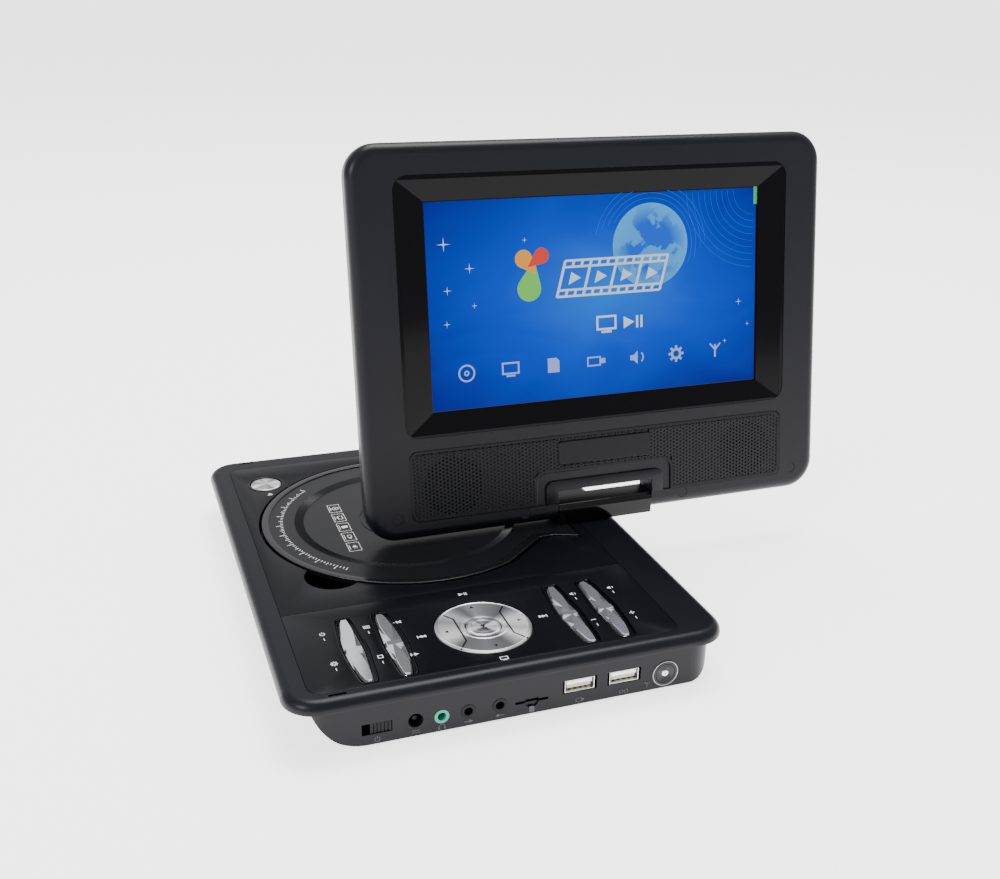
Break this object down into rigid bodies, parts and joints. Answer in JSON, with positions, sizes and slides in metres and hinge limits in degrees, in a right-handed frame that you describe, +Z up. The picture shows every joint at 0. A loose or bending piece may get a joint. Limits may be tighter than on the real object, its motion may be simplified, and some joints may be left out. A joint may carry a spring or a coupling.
{
  "type": "portable dvd player",
  "caption": "Clamshell disc player with a swivelling, tilting screen on a hinge block, a pop-up disc lid, rocker keys, a round navigation plate and side ports",
  "frame": {"origin": "on the table plane, below the middle of the whole player as it stands at rest with the display turned sideways", "axes": "+Z up, +X towards the port side, +Y from the user towards the hinge"},
  "size_m": [0.242, 0.3, 0.2071],
  "materials": {
    "case_black": "fine-grained satin black moulding",
    "deck_black": "smooth satin black panel",
    "gloss_black": "polished black",
    "port_black": "plain black",
    "silver_key": "bright silver plating",
    "brushed_silver": "radially brushed",
    "rubber": "soft black rubber",
    "steel": "bright steel",
    "brass": "turned brass",
    "green_plastic": "green moulding",
    "board_green": "green solder mask",
    "cell_wrap": "blue film wrap",
    "white_plastic": "ivory acetal",
    "screen": "lit display"
  },
  "bodies": {
    "base": {"bottom_case": "case_black", "top_case": "case_black", "disc_deck": "deck_black", "control_panel": "deck_black", "rubber_feet": "rubber", "case_screws": "steel", "battery_pack": "cell_wrap", "main_board": "board_green", "key_board": "board_green", "dc_jack": "port_black", "headphone_jack": "green_plastic", "av_out_jack": "port_black", "av_in_jack": "port_black", "card_socket": "steel", "usb_socket": "steel", "game_socket": "steel", "aerial_socket": "steel", "power_switch_housing": "port_black", "drive_chassis": "steel", "drive_dampers": "rubber", "spindle_motor": "steel", "guide_rods": "steel", "sled_motor": "steel", "swivel_bush": "brass"},
    "disc_lid_body": {"disc_lid": "deck_black", "lid_rim": "gloss_black"},
    "turntable_body": {"turntable": "port_black"},
    "pickup_body": {"pickup": "port_black"},
    "sled_gear_body": {"sled_gear": "white_plastic"},
    "power_knob_body": {"power_switch_knob": "port_black"},
    "rocker_1_body": {"rocker_key_1": "silver_key"},
    "rocker_2_body": {"rocker_key_2": "silver_key"},
    "rocker_3_body": {"rocker_key_3": "silver_key"},
    "rocker_4_body": {"rocker_key_4": "silver_key"},
    "nav_pivot_body": {"nav_pivot": "port_black"},
    "nav_plate_body": {"nav_plate": "brushed_silver"},
    "centre_key_body": {"centre_key": "brushed_silver"},
    "open_button_body": {"open_button": "brushed_silver"},
    "latch_body": {"lid_latch": "port_black"},
    "hinge_body": {"swivel_shaft": "steel", "swivel_clip": "steel", "hinge_block": "case_black", "hinge_cap": "gloss_black"},
    "display_body": {"tilt_pins": "steel", "display_front_cover": "case_black", "display_back_cover": "case_black", "hinge_surround": "case_black", "grille_panel": "deck_black", "lcd_bezel": "gloss_black", "lcd_panel": "screen", "lcd_frame": "steel", "display_board": "board_green", "speakers": "port_black", "screw_plugs": "port_black", "display_screws": "steel"}
  },
  "joints": [
    {"name": "display_swivel", "type": "hinge", "parent": "base", "child": "hinge_body", "pos_m": [0, 0.0295, 0.033], "axis": [0, 0, -1], "range_deg": [-90, 90]},
    {"name": "display_tilt", "type": "hinge", "parent": "hinge_body", "child": "display_body", "pos_m": [0, 0.0295, 0.033], "axis": [0, -1, 0], "range_deg": [-99.25, 80.75]},
    {"name": "disc_lid_open", "type": "hinge", "parent": "base", "child": "disc_lid_body", "pos_m": [-0.0263, 0.0073, 0.022], "axis": [-1, 0, 0], "range_deg": [0, 0.8]},
    {"name": "disc_spin", "type": "hinge", "parent": "base", "child": "turntable_body", "pos_m": [-0.0263, -0.0642, 0.02], "axis": [0, 0, 1], "continuous": true},
    {"name": "pickup_slide", "type": "slide", "parent": "base", "child": "pickup_body", "axis": [0, 1, 0], "range_m": [0, 0.035]},
    {"name": "sled_gear_turn", "type": "hinge", "parent": "base", "child": "sled_gear_body", "pos_m": [-0.0573, -0.0235, 0.013], "axis": [0, 0, 1], "range_deg": [-5, 410]},
    {"name": "power_switch_slide", "type": "slide", "parent": "base", "child": "power_knob_body", "axis": [0, 1, 0], "range_m": [-0.003, 0]},
    {"name": "rocker_key_1_rock", "type": "hinge", "parent": "base", "child": "rocker_1_body", "pos_m": [0.0873, -0.1159, 0.0238], "axis": [0, 1, 0], "range_deg": [-2.5, 2.5], "stiffness_Nm_per_rad": 0.02},
    {"name": "rocker_key_2_rock", "type": "hinge", "parent": "base", "child": "rocker_2_body", "pos_m": [0.0873, -0.1009, 0.0238], "axis": [0, 1, 0], "range_deg": [-2.5, 2.5], "stiffness_Nm_per_rad": 0.02},
    {"name": "rocker_key_3_rock", "type": "hinge", "parent": "base", "child": "rocker_3_body", "pos_m": [0.0873, -0.0229, 0.0238], "axis": [0, 1, 0], "range_deg": [-2.5, 2.5], "stiffness_Nm_per_rad": 0.02},
    {"name": "rocker_key_4_rock", "type": "hinge", "parent": "base", "child": "rocker_4_body", "pos_m": [0.0873, -0.0079, 0.0238], "axis": [0, 1, 0], "range_deg": [-2.5, 2.5], "stiffness_Nm_per_rad": 0.02},
    {"name": "nav_rock_front_rear", "type": "hinge", "parent": "base", "child": "nav_pivot_body", "pos_m": [0.0863, -0.0619, 0.0219], "axis": [1, 0, 0], "range_deg": [-1.6, 1.6], "stiffness_Nm_per_rad": 0.02},
    {"name": "nav_rock_left_right", "type": "hinge", "parent": "nav_pivot_body", "child": "nav_plate_body", "pos_m": [0.0863, -0.0619, 0.0219], "axis": [0, 1, 0], "range_deg": [-1.6, 1.6], "stiffness_Nm_per_rad": 0.02},
    {"name": "centre_key_press", "type": "slide", "parent": "base", "child": "centre_key_body", "axis": [0, 0, -1], "range_m": [0, 0.0005], "stiffness_N_per_m": 60, "springref_m": -0.002},
    {"name": "open_button_press", "type": "slide", "parent": "base", "child": "open_button_body", "axis": [0, 0, -1], "range_m": [0, 0.0012], "stiffness_N_per_m": 100, "springref_m": -0.003},
    {"name": "lid_latch_slide", "type": "slide", "parent": "base", "child": "latch_body", "axis": [-0.6993, -0.7148, 0], "range_m": [0, 0.001]}
  ],
  "couplings": [
    {"joint": "sled_gear_turn", "follows": "pickup_slide", "rad_per_m": 200},
    {"joint": "lid_latch_slide", "follows": "open_button_press", "ratio": 0.8}
  ]
}
